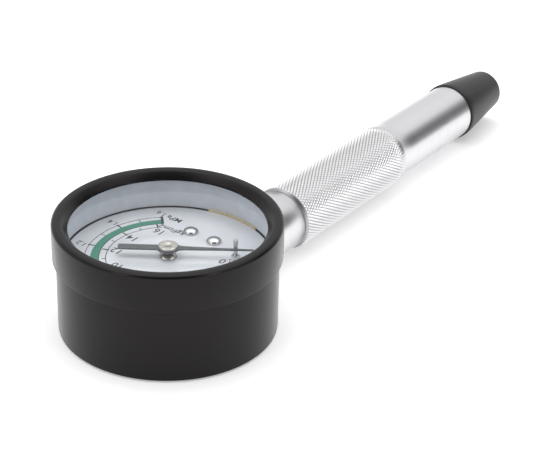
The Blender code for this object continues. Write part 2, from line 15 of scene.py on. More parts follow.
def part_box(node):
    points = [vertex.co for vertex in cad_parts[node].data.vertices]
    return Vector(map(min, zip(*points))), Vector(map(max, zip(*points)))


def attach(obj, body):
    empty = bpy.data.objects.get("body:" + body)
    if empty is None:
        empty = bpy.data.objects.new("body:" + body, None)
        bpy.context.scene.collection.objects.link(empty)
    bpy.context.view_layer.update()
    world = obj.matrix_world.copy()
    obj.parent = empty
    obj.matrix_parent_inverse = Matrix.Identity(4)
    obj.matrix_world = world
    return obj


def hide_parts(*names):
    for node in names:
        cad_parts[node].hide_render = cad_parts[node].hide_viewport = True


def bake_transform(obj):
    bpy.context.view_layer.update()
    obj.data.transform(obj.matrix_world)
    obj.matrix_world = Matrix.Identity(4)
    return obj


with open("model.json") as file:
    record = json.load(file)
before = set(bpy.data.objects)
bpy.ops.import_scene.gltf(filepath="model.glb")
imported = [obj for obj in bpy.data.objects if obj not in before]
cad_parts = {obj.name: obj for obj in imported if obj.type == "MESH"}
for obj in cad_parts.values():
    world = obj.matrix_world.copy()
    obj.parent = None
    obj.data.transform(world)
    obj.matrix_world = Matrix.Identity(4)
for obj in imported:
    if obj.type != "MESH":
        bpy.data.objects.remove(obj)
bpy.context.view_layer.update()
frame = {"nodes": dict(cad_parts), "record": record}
MM = 0.001


def box_mm(node):
    low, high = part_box(node)
    return low / MM, high / MM


BEZEL_LOW, BEZEL_HIGH = box_mm("bezel")
CASE_LOW, CASE_HIGH = box_mm("case")
DIAL_LOW, DIAL_HIGH = box_mm("dial_plate")
NECK_LOW, NECK_HIGH = box_mm("neck_adapter")
GRIP_LOW, GRIP_HIGH = box_mm("knurled_grip")
BARREL_LOW, BARREL_HIGH = box_mm("barrel_tube")
CONE_LOW, CONE_HIGH = box_mm("cone_nozzle")
AXIS_Z = (GRIP_LOW.z + GRIP_HIGH.z) / 2.0

BEZEL_R = BEZEL_HIGH.x
CASE_R = CASE_HIGH.x
DIAL_R = DIAL_HIGH.x
DIAL_TOP = DIAL_HIGH.z
NECK_R = NECK_HIGH.x
KNURL_R = GRIP_HIGH.x
CONE_R = CONE_HIGH.x
GRIP_START = -GRIP_HIGH.y
GRIP_END = -GRIP_LOW.y
BARREL_START_R = 9.2
KNURL_DEPTH = 0.26

# ---------------------------------------------------------------- camera, floor and light

CAMERA_AT = (-243.83, 299.742, 240.323)
CAMERA_YAW = math.radians(-54.9602)
CAMERA_PITCH = math.radians(-28.6025)
CAMERA_ROLL = math.radians(1.577)
CAMERA_LENS = 111.757


def camera():
    data = bpy.data.cameras.new("camera")
    data.lens = CAMERA_LENS
    data.sensor_width = 36.0
    data.clip_start = 0.01
    cam = bpy.data.objects.new("camera", data)
    bpy.context.scene.collection.objects.link(cam)
    forward = Vector((
        math.cos(CAMERA_PITCH) * math.cos(CAMERA_YAW),
        math.cos(CAMERA_PITCH) * math.sin(CAMERA_YAW),
        math.sin(CAMERA_PITCH),
    ))
    level = forward.cross(Vector((0.0, 0.0, 1.0))).normalized()
    above = level.cross(forward)
    right = math.cos(CAMERA_ROLL) * level + math.sin(CAMERA_ROLL) * above
    up = math.cos(CAMERA_ROLL) * above - math.sin(CAMERA_ROLL) * level
    turn = Matrix((right, up, -forward)).transposed().to_4x4()
    cam.matrix_world = Matrix.Translation(Vector(CAMERA_AT) * MM) @ turn
    bpy.context.scene.camera = cam


def heading(azimuth, elevation):
    """Unit vector from the object towards a direction given in degrees."""
    a = math.radians(azimuth)
    e = math.radians(elevation)
    return Vector((math.cos(e) * math.cos(a), math.cos(e) * math.sin(a), math.sin(e)))


def softbox(name, azimuth, elevation, distance, size, energy):
    data = bpy.data.lights.new(name, "AREA")
    data.shape = "SQUARE"
    data.size = size
    data.energy = energy
    light = bpy.data.objects.new(name, data)
    away = heading(azimuth, elevation)
    light.location = away * distance
    light.rotation_euler = away.to_track_quat("Z", "Y").to_euler()
    bpy.context.scene.collection.objects.link(light)


# Unlit parts of the studio: azimuth, elevation, radius of the dark core, radius where it ends, level
DARK_PATCHES = ((233.0, 17.0, 6.0, 25.0, 0.08), (129.0, 47.0, 14.0, 46.0, 0.12))
HORIZON_LEVEL = 0.9
OVERHEAD_LEVEL = 2.4
FLOOR_GLOW = 0.3  # keeps the contact shadow pale


def studio():
    """A white studio, brighter overhead, with two dark patches: behind the camera and to its right."""
    scene = bpy.context.scene
    scene.view_settings.view_transform = "Standard"
    world = bpy.data.worlds.new("studio")
    scene.world = world
    world.use_nodes = True
    nodes = world.node_tree.nodes
    links = world.node_tree.links
    where = nodes.new("ShaderNodeTexCoord").outputs["Generated"]
    split = nodes.new("ShaderNodeSeparateXYZ")
    links.new(where, split.inputs[0])

    def smooth_range(value, low, high, at_low, at_high):
        node = nodes.new("ShaderNodeMapRange")
        node.interpolation_type = "SMOOTHSTEP"
        node.inputs["From Min"].default_value = low
        node.inputs["From Max"].default_value = high
        node.inputs["To Min"].default_value = at_low
        node.inputs["To Max"].default_value = at_high
        links.new(value, node.inputs["Value"])
        return node.outputs[0]

    level = smooth_range(split.outputs["Z"], 0.65, 0.97, HORIZON_LEVEL, OVERHEAD_LEVEL)
    for azimuth, elevation, core, end, dark in DARK_PATCHES:
        towards = nodes.new("ShaderNodeVectorMath")
        towards.operation = "DOT_PRODUCT"
        towards.inputs[1].default_value = heading(azimuth, elevation)
        links.new(where, towards.inputs[0])
        edges = (math.cos(math.radians(end)), math.cos(math.radians(core)))
        patch = smooth_range(towards.outputs["Value"], *edges, 1.0, dark)
        product = nodes.new("ShaderNodeMath")
        product.operation = "MULTIPLY"
        links.new(level, product.inputs[0])
        links.new(patch, product.inputs[1])
        level = product.outputs[0]
    background = nodes["Background"]
    background.inputs["Color"].default_value = (1.0, 1.0, 1.0, 1.0)
    links.new(level, background.inputs["Strength"])
    softbox("left_softbox", 84.0, 30.0, 0.8, 0.16, 0.5)
    softbox("right_softbox", 172.0, 30.0, 0.8, 0.16, 0.5)


def floor():
    """A plain pale floor, level with the gauge's back."""
    bm = bmesh.new()
    half = 1.6  # metres
    corners = ((-half, -half), (half, -half), (half, half), (-half, half))
    bm.faces.new([bm.verts.new((x, y, 0.0)) for x, y in corners])
    mesh = bpy.data.meshes.new("floor")
    bm.to_mesh(mesh)
    bm.free()
    obj = bpy.data.objects.new("floor", mesh)
    bpy.context.scene.collection.objects.link(obj)
    material = bpy.data.materials.new("floor")
    material.use_nodes = True
    shader = material.node_tree.nodes["Principled BSDF"]
    shader.inputs["Base Color"].default_value = (0.94, 0.94, 0.94, 1.0)
    shader.inputs["Roughness"].default_value = 0.8
    shader.inputs["Specular IOR Level"].default_value = 0.1
    shader.inputs["Emission Color"].default_value = (1.0, 1.0, 1.0, 1.0)
    shader.inputs["Emission Strength"].default_value = FLOOR_GLOW
    mesh.materials.append(material)


# ---------------------------------------------------------------- materials


class Finish:
    """A Principled material with its node tree at hand, reading object coordinates in metres."""

    def __init__(self, name, roughness, metallic=0.0):
        self.material = bpy.data.materials.new(name)
        self.material.use_nodes = True
        self.nodes = self.material.node_tree.nodes
        self.links = self.material.node_tree.links
        self.shader = self.nodes["Principled BSDF"]
        self.shader.inputs["Metallic"].default_value = metallic
        self.shader.inputs["Roughness"].default_value = roughness
        self.where = self.nodes.new("ShaderNodeTexCoord").outputs["Object"]

    def noise(self, scale, detail=3.0, stretch=(1.0, 1.0, 1.0)):
        mapping = self.nodes.new("ShaderNodeMapping")
        mapping.inputs["Scale"].default_value = stretch
        texture = self.nodes.new("ShaderNodeTexNoise")
        texture.inputs["Scale"].default_value = scale
        texture.inputs["Detail"].default_value = detail
        self.links.new(self.where, mapping.inputs["Vector"])
        self.links.new(mapping.outputs[0], texture.inputs["Vector"])
        return texture.outputs["Fac"]

    def ramp(self, value, dark, light, low=0.3, high=0.7):
        node = self.nodes.new("ShaderNodeValToRGB")
        node.color_ramp.elements[0].position = low
        node.color_ramp.elements[0].color = (*dark, 1.0)
        node.color_ramp.elements[1].position = high
        node.color_ramp.elements[1].color = (*light, 1.0)
        self.links.new(value, node.inputs["Fac"])
        return node.outputs["Color"]

    def colour(self, value, dark, light, low=0.3, high=0.7):
        self.links.new(self.ramp(value, dark, light, low, high), self.shader.inputs["Base Color"])

    def roughness(self, value, low, high):
        node = self.nodes.new("ShaderNodeMapRange")
        node.inputs["To Min"].default_value = low
        node.inputs["To Max"].default_value = high
        self.links.new(value, node.inputs["Value"])
        self.links.new(node.outputs[0], self.shader.inputs["Roughness"])

    def bump(self, value, height, strength=1.0):
        node = self.nodes.new("ShaderNodeBump")
        node.inputs["Strength"].default_value = strength
        node.inputs["Distance"].default_value = height * MM
        self.links.new(value, node.inputs["Height"])
        self.links.new(node.outputs[0], self.shader.inputs["Normal"])


def metal(name, dark, light, rough, stretch=(1.0, 1.0, 1.0), scale=900.0, height=0.004):
    finish = Finish(name, rough[0], 1.0)
    grain = finish.noise(scale, 4.0, stretch)
    finish.colour(grain, dark, light)
    finish.roughness(grain, *rough)
    finish.bump(grain, height)
    return finish.material


def black_paint():
    finish = Finish("black_paint", 0.3)
    peel = finish.noise(1500.0, 2.0)
    cloud = finish.noise(60.0, 3.0)
    finish.colour(cloud, (0.003, 0.0028, 0.0029), (0.0048, 0.0044, 0.0046))
    finish.roughness(cloud, 0.2, 0.26)
    finish.bump(peel, 0.004, 0.6)
    finish.shader.inputs["Specular IOR Level"].default_value = 0.23
    finish.shader.inputs["Specular Tint"].default_value = (1.0, 0.93, 0.93, 1.0)
    return finish.material


def knurled_metal():
    """Aluminium with painted shade darkening the grooves, told from the tops by their distance from the
    handle's axis.
    """
    finish = Finish("knurled_aluminium", 0.35, 1.0)
    value = finish.where
    across = (("SUBTRACT", (0.0, 0.0, AXIS_Z * MM)), ("MULTIPLY", (1.0, 0.0, 1.0)), ("LENGTH", None))
    for operation, operand in across:
        step = finish.nodes.new("ShaderNodeVectorMath")
        step.operation = operation
        if operand:
            step.inputs[1].default_value = operand
        finish.links.new(value, step.inputs[0])
        value = step.outputs["Value" if operation == "LENGTH" else "Vector"]
    height = finish.nodes.new("ShaderNodeMapRange")
    height.inputs["From Min"].default_value = (KNURL_R - KNURL_DEPTH) * MM
    height.inputs["From Max"].default_value = (KNURL_R - 0.15 * KNURL_DEPTH) * MM
    finish.links.new(value, height.inputs["Value"])
    # painted shade: the colour darkens towards the groove bottoms while the diamond tops stay light
    finish.colour(height.outputs[0], (0.42, 0.42, 0.43), (0.9, 0.9, 0.91), 0.0, 1.0)
    finish.roughness(finish.noise(900.0, 4.0), 0.26, 0.36)
    return finish.material


def rubber(name, dark, light, rough):
    finish = Finish(name, 0.5)
    mottle = finish.noise(220.0, 5.0)
    pores = finish.noise(3500.0, 2.0)
    finish.colour(mottle, dark, light)
    finish.roughness(mottle, *rough)
    finish.bump(pores, 0.012, 0.5)
    finish.shader.inputs["Specular IOR Level"].default_value = 0.38
    finish.shader.inputs["Specular Tint"].default_value = (1.0, 0.95, 0.97, 1.0)
    return finish.material


def dial_enamel():
    finish = Finish("dial_enamel", 0.08)
    cloud = finish.noise(80.0, 2.0)
    finish.colour(cloud, (0.75, 0.77, 0.815), (0.79, 0.81, 0.85))
    finish.roughness(cloud, 0.03, 0.06)
    finish.shader.inputs["IOR"].default_value = 1.75
    finish.bump(finish.noise(260.0, 1.0), 0.003, 0.3)
    return finish.material


def ink(name, dark, light):
    finish = Finish(name, 0.4)
    finish.colour(finish.noise(2500.0, 2.0), dark, light)
    finish.roughness(finish.noise(600.0), 0.32, 0.45)
    return finish.material


def pale_plastic():
    finish = Finish("pale_plastic", 0.4)
    finish.colour(finish.noise(300.0, 3.0), (0.63, 0.66, 0.72), (0.7, 0.73, 0.79))
    finish.roughness(finish.noise(500.0), 0.3, 0.42)
    finish.bump(finish.noise(1800.0), 0.004, 0.4)
    return finish.material


def clear_window():
    """Thin clear sheet: what is behind shows through, with a Fresnel reflection on top."""
    material = bpy.data.materials.new("clear_window")
    material.use_nodes = True
    nodes = material.node_tree.nodes
    links = material.node_tree.links
    nodes.remove(nodes["Principled BSDF"])
    through = nodes.new("ShaderNodeBsdfTransparent")
    through.inputs["Color"].default_value = (0.985, 0.99, 0.99, 1.0)
    gloss = nodes.new("ShaderNodeBsdfGlossy")
    gloss.inputs["Roughness"].default_value = 0.03
    smear = nodes.new("ShaderNodeTexNoise")
    smear.inputs["Scale"].default_value = 90.0
    spread = nodes.new("ShaderNodeMapRange")
    spread.inputs["To Min"].default_value = 0.015
    spread.inputs["To Max"].default_value = 0.06
    where = nodes.new("ShaderNodeTexCoord")
    links.new(where.outputs["Object"], smear.inputs["Vector"])
    links.new(smear.outputs["Fac"], spread.inputs["Value"])
    links.new(spread.outputs[0], gloss.inputs["Roughness"])
    edge = nodes.new("ShaderNodeFresnel")
    edge.inputs["IOR"].default_value = 1.3
    side = nodes.new("ShaderNodeNewGeometry")
    outer = nodes.new("ShaderNodeMath")
    outer.operation = "SUBTRACT"
    outer.use_clamp = True
    mix = nodes.new("ShaderNodeMixShader")
    links.new(edge.outputs[0], outer.inputs[0])
    links.new(side.outputs["Backfacing"], outer.inputs[1])
    links.new(outer.outputs[0], mix.inputs["Fac"])
    links.new(through.outputs[0], mix.inputs[1])
    links.new(gloss.outputs[0], mix.inputs[2])
    links.new(mix.outputs[0], nodes["Material Output"].inputs["Surface"])
    return material


FINE_RINGS = (0.15, 14.0, 0.15)  # stretches noise into turning marks about the handle's axis
MATERIALS = {
    "black_paint": black_paint(),
    "clear_window": clear_window(),
    "pale_plastic": pale_plastic(),
    "dial_white": dial_enamel(),
    "pointer_grey": metal("pointer_grey", (0.15, 0.156, 0.166), (0.19, 0.196, 0.206), (0.38, 0.5)),
    "nickel": metal("nickel", (0.56, 0.54, 0.5), (0.68, 0.65, 0.6), (0.2, 0.32)),
    "steel": metal("steel", (0.45, 0.46, 0.48), (0.6, 0.61, 0.62), (0.22, 0.34)),
    "bright_steel": metal("bright_steel", (0.58, 0.58, 0.59), (0.66, 0.66, 0.66), (0.08, 0.14)),
    "brass": metal("brass", (0.84, 0.7, 0.44), (0.94, 0.82, 0.56), (0.22, 0.36)),
    "bronze": metal("bronze", (0.48, 0.29, 0.14), (0.6, 0.4, 0.21), (0.28, 0.42)),
    "turned_aluminium": metal("turned_aluminium", (0.7, 0.7, 0.72), (0.75, 0.75, 0.77), (0.26, 0.32),
                              FINE_RINGS, 260.0, 0.0012),
    "knurled_aluminium": knurled_metal(),
    "black_rubber": rubber("black_rubber", (0.009, 0.0085, 0.0088), (0.015, 0.0142, 0.0145), (0.34, 0.42)),
    "seal_rubber": rubber("seal_rubber", (0.012, 0.012, 0.012), (0.02, 0.02, 0.02), (0.5, 0.65)),
}
PRINT_BLACK = ink("print_black", (0.02, 0.022, 0.025), (0.035, 0.037, 0.04))
PRINT_GREEN = ink("print_green", (0.045, 0.245, 0.165), (0.06, 0.285, 0.195))


def finish_cad_nodes():
    """Give every carried-over CAD node its slot's material."""
    for row in frame["record"]["subparts"]:
        obj = frame["nodes"][row["node"]]
        obj.data.materials.clear()
        obj.data.materials.append(MATERIALS[row["material_slot"]])


# ---------------------------------------------------------------- mesh helpers


def polar(radius, degrees, centre=(0.0, 0.0)):
    a = math.radians(degrees)
    return (centre[0] + radius * math.cos(a), centre[1] + radius * math.sin(a))


def arc(radius, start, end, steps, centre=(0.0, 0.0)):
    return [polar(radius, start + (end - start) * i / steps, centre) for i in range(steps + 1)]


def add_piece(name, points, faces, slot, body, replaces=(), material=None, sharp=40.0):
    """Make a piece from points in millimetres, shade it smooth and fix it to its body."""
    bm = bmesh.new()
    verts = [bm.verts.new(Vector(p) * MM) for p in points]
    for face in faces:
        bm.faces.new([verts[i] for i in face])
    bmesh.ops.recalc_face_normals(bm, faces=bm.faces[:])
    if bm.calc_volume(signed=True) < 0.0:
        bmesh.ops.reverse_faces(bm, faces=bm.faces[:])
    mesh = bpy.data.meshes.new(name)
    bm.to_mesh(mesh)
    bm.free()
    mesh.shade_smooth()
    mesh.set_sharp_from_angle(angle=math.radians(sharp))
    mesh.materials.append(material or MATERIALS[slot])
    obj = bpy.data.objects.new(name, mesh)
    bpy.context.scene.collection.objects.link(obj)
    if body:
        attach(obj, body)
    if replaces:
        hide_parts(*replaces)
    return obj


def upright(x=0.0, y=0.0):
    return lambda r, h, a: (x + r * math.cos(a), y + r * math.sin(a), h)


def along_handle(r, s, a):
    return (r * math.cos(a), -s, AXIS_Z + r * math.sin(a))


def turned(outline, segments, place):
    """Revolve a closed outline of (radius, height) points."""
    points = []
    rings = []
    for radius, height in outline:
        if radius < 1e-6:
            rings.append([len(points)] * segments)
            points.append(place(0.0, height, 0.0))
        else:
            rings.append(list(range(len(points), len(points) + segments)))
            points += [place(radius, height, 2.0 * math.pi * i / segments) for i in range(segments)]
    faces = []
    for k, ring in enumerate(rings):
        after = rings[(k + 1) % len(rings)]
        for i in range(segments):
            j = (i + 1) % segments
            corners = [ring[i], ring[j], after[j], after[i]]
            face = [c for n, c in enumerate(corners) if c != corners[n - 1]]
            if len(face) > 2:
                faces.append(face)
    return points, faces


def rounded(outline, radius, steps=3):
    """The outline with each corner replaced by a short arc-like fillet, cut back by radius."""
    result = []
    for n, corner in enumerate(outline):
        here = Vector(corner)
        before = Vector(outline[n - 1]) - here
        after = Vector(outline[(n + 1) % len(outline)]) - here
        cut = min(radius, before.length * 0.45, after.length * 0.45)
        if here.x < 1e-6 or cut < 1e-4 or before.angle(after) > math.radians(172.0):
            result.append(tuple(here))
            continue
        a = here + before.normalized() * cut
        b = here + after.normalized() * cut
        for i in range(steps + 1):
            t = i / steps
            point = (1 - t) * (1 - t) * a + 2 * t * (1 - t) * here + t * t * b
            result.append(tuple(point))
    return result


def prism(outline, z0, z1):
    """Extrude one closed outline between two heights."""
    n = len(outline)
    points = [(x, y, z) for z in (z0, z1) for x, y in outline]
    faces = [tuple(range(n)), tuple(range(n, 2 * n))]
    faces += [(i, (i + 1) % n, n + (i + 1) % n, n + i) for i in range(n)]
    return points, faces


def loft(sections):
    """Skin a row of closed sections of equal length, with flat ends."""
    n = len(sections[0])
    points = [p for section in sections for p in section]
    faces = [tuple(range(n)), tuple(range(len(points) - n, len(points)))]
    for k in range(0, len(points) - n, n):
        faces += [(k + i, k + (i + 1) % n, k + n + (i + 1) % n, k + n + i) for i in range(n)]
    return points, faces


def gather(bodies):
    """Several bodies as one list of points and faces."""
    points = []
    faces = []
    for body_points, body_faces in bodies:
        start = len(points)
        points += body_points
        faces += [tuple(start + i for i in face) for face in body_faces]
    return points, faces


# ---------------------------------------------------------------- case, bezel, window


def case_and_bezel():
    """Drawn steel cup with a raised back panel, and the pressed ring with its inner slope and lip."""
    step = 0.5  # height of the back panel
    wall = 0.75
    floor_z = 2.0
    back_r = 26.0
    outline = [(0.0, CASE_LOW.z), (back_r - 0.3, CASE_LOW.z), (back_r, CASE_LOW.z + step)]
    outline += [(CASE_R - 0.02, CASE_LOW.z + step), (CASE_R, CASE_HIGH.z), (CASE_R - wall, CASE_HIGH.z)]
    outline += [(CASE_R - wall, floor_z), (0.0, floor_z)]
    cup = turned(rounded(outline, 0.3), 160, upright())
    add_piece("case_shell", *cup, "black_paint", "housing", ["case"])
    seat_r = CASE_R + 0.04
    hem = 0.25
    crest = 1.0
    slope_r = 27.4  # where the flat crest turns into the slope
    lip_r = 25.75
    lip_z = BEZEL_HIGH.z - 1.8
    outline = [(seat_r, BEZEL_LOW.z)]
    outline += arc(hem, -80.0, 0.0, 3, (BEZEL_R - hem, BEZEL_LOW.z + hem))
    outline += arc(crest, 0.0, 90.0, 12, (BEZEL_R - crest, BEZEL_HIGH.z - crest))
    outline += [(slope_r + 0.3, BEZEL_HIGH.z), (slope_r, BEZEL_HIGH.z - 0.06)]
    outline.append((slope_r - 0.3, BEZEL_HIGH.z - 0.23))
    outline += arc(0.18, 127.0, 180.0, 3, (lip_r + 0.2, lip_z - 0.14))
    outline += [(lip_r, lip_z - 0.55), (seat_r, lip_z - 0.6)]
    add_piece("bezel_ring", *turned(outline, 192, upright()), "black_paint", "housing", ["bezel"])


def window_and_spacer():
    """Clear disc, the pale wall under it, and the seal that takes the disc's edge."""
    seal_in = 27.45
    low, high = box_mm("window")
    rim = seal_in - 0.05
    outline = rounded([(0.0, low.z), (rim, low.z), (rim, high.z), (0.0, high.z)], 0.15)
    add_piece("window_disc", *turned(outline, 128, upright()), "clear_window", "housing", ["window"])
    lip_under = high.z + 0.25
    low, high = box_mm("spacer_ring")
    seam = high.z + 0.12
    outline = [(seal_in + 0.08, low.z), (high.x, low.z), (high.x, seam)]
    outline += [(seal_in, seam), (seal_in, low.z + 0.08)]
    add_piece("spacer_sleeve", *turned(outline, 160, upright()), "pale_plastic", "housing", ["spacer_ring"])
    low, high = box_mm("window_gasket")
    seam += 0.02
    outline = [(seal_in, seam), (high.x, seam), (high.x, lip_under), (seal_in, lip_under)]
    add_piece("window_seal", *turned(outline, 160, upright()), "pale_plastic", "housing", ["window_gasket"])


# ---------------------------------------------------------------- dial

SCALE_ZERO = 46.6  # degrees clockwise from 6 o'clock where the MPa scale would read zero
MPA_DEGREES = 168.75  # degrees per MPa
KGF_IN_MPA = 0.0980665
PRINT_HEIGHT = 0.03
PRINT_GAP = 0.005  # between the dial and the underside of its print
PRINT_CENTRE = (-0.21, 0.3)  # the scales are printed a little off the dial's axis
FIRST_LINE = 57.5  # clockwise angle of the line at the stop
FULL_SCALE = 16  # steps of 0.1 MPa, or of 1 kgf/cm2
MPA_RING = 21.7
MPA_TICK_FOOT = 20.2
MPA_LABELS = 23.85
KGF_RING = 16.15
KGF_LABELS = 13.75
BAND_RING = 19.08
BAND_WIDTH = 2.15
BAND_EDGE = 17.98
BAND_START = 0.8  # MPa
LINE = 0.2


def clock(degrees):
    """Angle from +X of a direction given clockwise from 6 o'clock."""
    return -90.0 - degrees


def print_arc(radius, width, start, end):
    """A printed arc between two clockwise angles."""
    steps = max(2, round(abs(end - start) / 2.5))
    outline = arc(radius - width / 2.0, clock(start), clock(end), steps)
    outline += arc(radius + width / 2.0, clock(end), clock(start), steps)
    return prism(outline, DIAL_TOP + PRINT_GAP, DIAL_TOP + PRINT_HEIGHT)


def print_tick(r0, r1, degrees, width):
    direction = Vector(polar(1.0, clock(degrees)))
    across = Vector((-direction.y, direction.x)) * (width / 2.0)
    low = direction * r0
    high = direction * r1
    outline = [tuple(p) for p in (low + across, high + across, high - across, low - across)]
    return prism(outline, DIAL_TOP + PRINT_GAP, DIAL_TOP + PRINT_HEIGHT)


def print_text(text, radius, degrees, height):
    """Upright lettering centred at a place on the dial, as a thin mesh."""
    data = bpy.data.curves.new("lettering", "FONT")
    data.body = text
    data.size = height * 1.38
    data.align_x = "CENTER"
    data.align_y = "CENTER"
    data.resolution_u = 3
    data.offset = 0.006 * height
    data.extrude = PRINT_HEIGHT / 2.0
    obj = bpy.data.objects.new("lettering", data)
    bpy.context.scene.collection.objects.link(obj)
    bpy.context.view_layer.update()
    mesh = bpy.data.meshes.new_from_object(obj.evaluated_get(bpy.context.evaluated_depsgraph_get()))
    x, y = polar(radius, clock(degrees))
    z = DIAL_TOP + PRINT_GAP + PRINT_HEIGHT / 2.0
    points = [(v.co.x + x, v.co.y + y, v.co.z + z) for v in mesh.vertices]
    faces = [tuple(p.vertices) for p in mesh.polygons]
    bpy.data.objects.remove(obj)
    bpy.data.meshes.remove(mesh)
    bpy.data.curves.remove(data)
    return points, faces


def printed(shapes, drop=0.0):
    """The shapes as one mesh, moved to the scales' own centre."""
    points, faces = gather(shapes)
    return [(x + PRINT_CENTRE[0], y + PRINT_CENTRE[1], z - drop) for x, y, z in points], faces


def mpa(value):
    return SCALE_ZERO + MPA_DEGREES * value


def kgf(value):
    return SCALE_ZERO + MPA_DEGREES * KGF_IN_MPA * value


def dial():
    """White plate with its two printed scales and the green band, and the heads of its screws."""
    outline = rounded([(0.9, DIAL_LOW.z), (DIAL_R, DIAL_LOW.z), (DIAL_R, DIAL_TOP), (0.9, DIAL_TOP)], 0.1)
    add_piece("dial_face", *turned(outline, 160, upright()), "dial_white", "housing", ["dial_plate"])
    black = [
        print_arc(MPA_RING, LINE, FIRST_LINE, mpa(1.6)),
        print_arc(KGF_RING, LINE, FIRST_LINE, kgf(FULL_SCALE)),
        print_arc(BAND_EDGE, LINE, mpa(BAND_START), mpa(1.6)),
    ]
    past = 0.4  # a long line reaches this far over the ring, and inner_past on the inner scale
    inner_past = 0.3
    for n in range(1, FULL_SCALE + 1):
        major = n % 2 == 0
        width = 0.42 if major else 0.24
        if n < FULL_SCALE:
            black.append(print_tick(MPA_TICK_FOOT, MPA_RING + (past if major else 0.0), mpa(n / 10.0), width))
        low = KGF_RING - (inner_past if major else 0.0)
        black.append(print_tick(low, 17.7 if major else 17.3, kgf(n), width))
    black.append(print_tick(18.0, MPA_RING + past, mpa(1.6), 0.7))
    black.append(print_tick(KGF_RING - inner_past, MPA_RING, FIRST_LINE, 0.3))
    mpa_size = 1.9
    kgf_size = 2.5
    black.append(print_text("0", 14.35, 61.0, kgf_size))
    black.append(print_text("0", MPA_LABELS, FIRST_LINE, mpa_size))
    for n in range(2, FULL_SCALE + 1, 2):
        black.append(print_text(str(n), KGF_LABELS, kgf(n), kgf_size))
        black.append(print_text(f"{n / 10:.1f}", MPA_LABELS, mpa(n / 10.0) + 0.3, mpa_size))
    black.append(print_text("MPa", 20.7, 325.8, 2.1))
    black.append(print_text("kgf/cm2", 14.6, 324.9, 1.9))
    add_piece("dial_print_black", *printed(black), "dial_white", "housing", material=PRINT_BLACK)
    green = printed([print_arc(BAND_RING, BAND_WIDTH, mpa(BAND_START), mpa(1.6))], 0.004)
    add_piece("dial_print_green", *green, "dial_white", "housing", material=PRINT_GREEN)
    shank = 1.0
    edge = 0.3
    for n in (1, 2):
        node = f"dial_screw_{n}"
        low, high = box_mm(node)
        place = upright((low.x + high.x) / 2.0, (low.y + high.y) / 2.0)
        radius = (high.x - low.x) / 2.0
        base = DIAL_TOP + 0.01
        dome = high.z - base - edge
        outline = [(0.0, low.z), (shank, low.z), (shank, base), (radius - 0.05, base), (radius, base + edge)]
        for i in range(1, 10):
            t = math.pi / 2.0 * i / 10
            outline.append((radius * math.cos(t), base + edge + dome * math.sin(t)))
        outline.append((0.0, high.z))
        add_piece(f"dial_screw_head_{n}", *turned(outline, 48, place), "bright_steel", "housing", [node])


def pointer():
    """Needle with a wide tail, its cap, the collar under it and the pin that stops it at zero."""
    rest = -145.2  # direction of the needle, degrees from +X
    tip_r = 22.1
    tail_r = 13.0
    disc = 2.9
    blade = 0.75  # half widths
    tail = 1.15
    low, high = box_mm("pointer")
    a = math.degrees(math.asin(blade / disc))
    b = math.degrees(math.asin(tail / disc))
    outline = [(tip_r, -0.12), (tip_r + 0.05, 0.0), (tip_r, 0.12), (4.4, blade * 0.92), (3.4, blade * 1.12)]
    outline += arc(disc, a + 9.0, 180.0 - b, 20)
    outline += arc(0.4, 90.0, 180.0, 4, (0.4 - tail_r, tail - 0.4))
    outline += arc(0.4, 180.0, 270.0, 4, (0.4 - tail_r, 0.4 - tail))
    outline += arc(disc, 180.0 + b, 351.0 - a, 20) + [(3.4, -blade * 1.12), (4.4, -blade * 0.92)]
    bevel = 0.08
    inner = []
    for n, corner in enumerate(outline):
        before = (Vector(corner) - Vector(outline[n - 1])).normalized()
        after = (Vector(outline[(n + 1) % len(outline)]) - Vector(corner)).normalized()
        normal = (before + after).orthogonal().normalized()
        inner.append(Vector(corner) - normal * bevel)
    turn = Matrix.Rotation(math.radians(rest), 2)
    n = len(outline)
    levels = ((outline, low.z), (outline, high.z - bevel), (inner, high.z))
    points = [(*(turn @ Vector(p)), z) for loop, z in levels for p in loop]
    faces = [tuple(range(n)), tuple(range(2 * n, 3 * n))]
    for k in (0, n):
        faces += [(k + i, k + (i + 1) % n, k + n + (i + 1) % n, k + n + i) for i in range(n)]
    add_piece("pointer_needle", points, faces, "pointer_grey", "pointer_group", ["pointer"], sharp=50.0)
    low, high = box_mm("pointer_boss")
    radius = high.x
    base = low.z - 0.05
    outline = [(0.0, base), (radius, base), (radius, high.z - 0.3)]
    outline += arc(0.3, 0.0, 90.0, 5, (radius - 0.3, high.z - 0.3))
    outline += [(1.0, high.z), (0.75, high.z - 0.1), (0.0, high.z - 0.22)]
    add_piece("pointer_cap", *turned(outline, 72, upright()), "nickel", "pointer_group", ["pointer_boss"])
    low, high = box_mm("dial_bush")
    outline = [(0.95, low.z), (high.x, low.z), (high.x, low.z + 0.15), (high.x - 0.1, low.z + 0.24)]
    outline += [(1.35, high.z - 0.05), (1.25, high.z), (0.95, high.z)]
    add_piece("dial_collar", *turned(outline, 72, upright()), "nickel", "housing", ["dial_bush"])
    low, high = box_mm("stop_pin")
    x = (low.x + high.x) / 2.0
    y = (low.y + high.y) / 2.0
    outline = [(0.0, low.z), (0.6, low.z), (0.6, DIAL_TOP), (1.1, DIAL_TOP), (1.1, DIAL_TOP + 0.2)]
    outline += [(0.85, DIAL_TOP + 0.35), (0.65, DIAL_TOP + 0.7), (0.6, DIAL_TOP + 1.2), (0.6, high.z - 0.2)]
    outline += arc(0.2, 0.0, 90.0, 4, (0.4, high.z - 0.2)) + [(0.0, high.z)]
    add_piece("stop_post", *turned(outline, 32, upright(x, y)), "steel", "housing", ["stop_pin"])


# ---------------------------------------------------------------- handle


def handle_piece(name, outline, segments, slot, replaces):
    return add_piece(name, *turned(outline, segments, along_handle), slot, "housing", replaces)


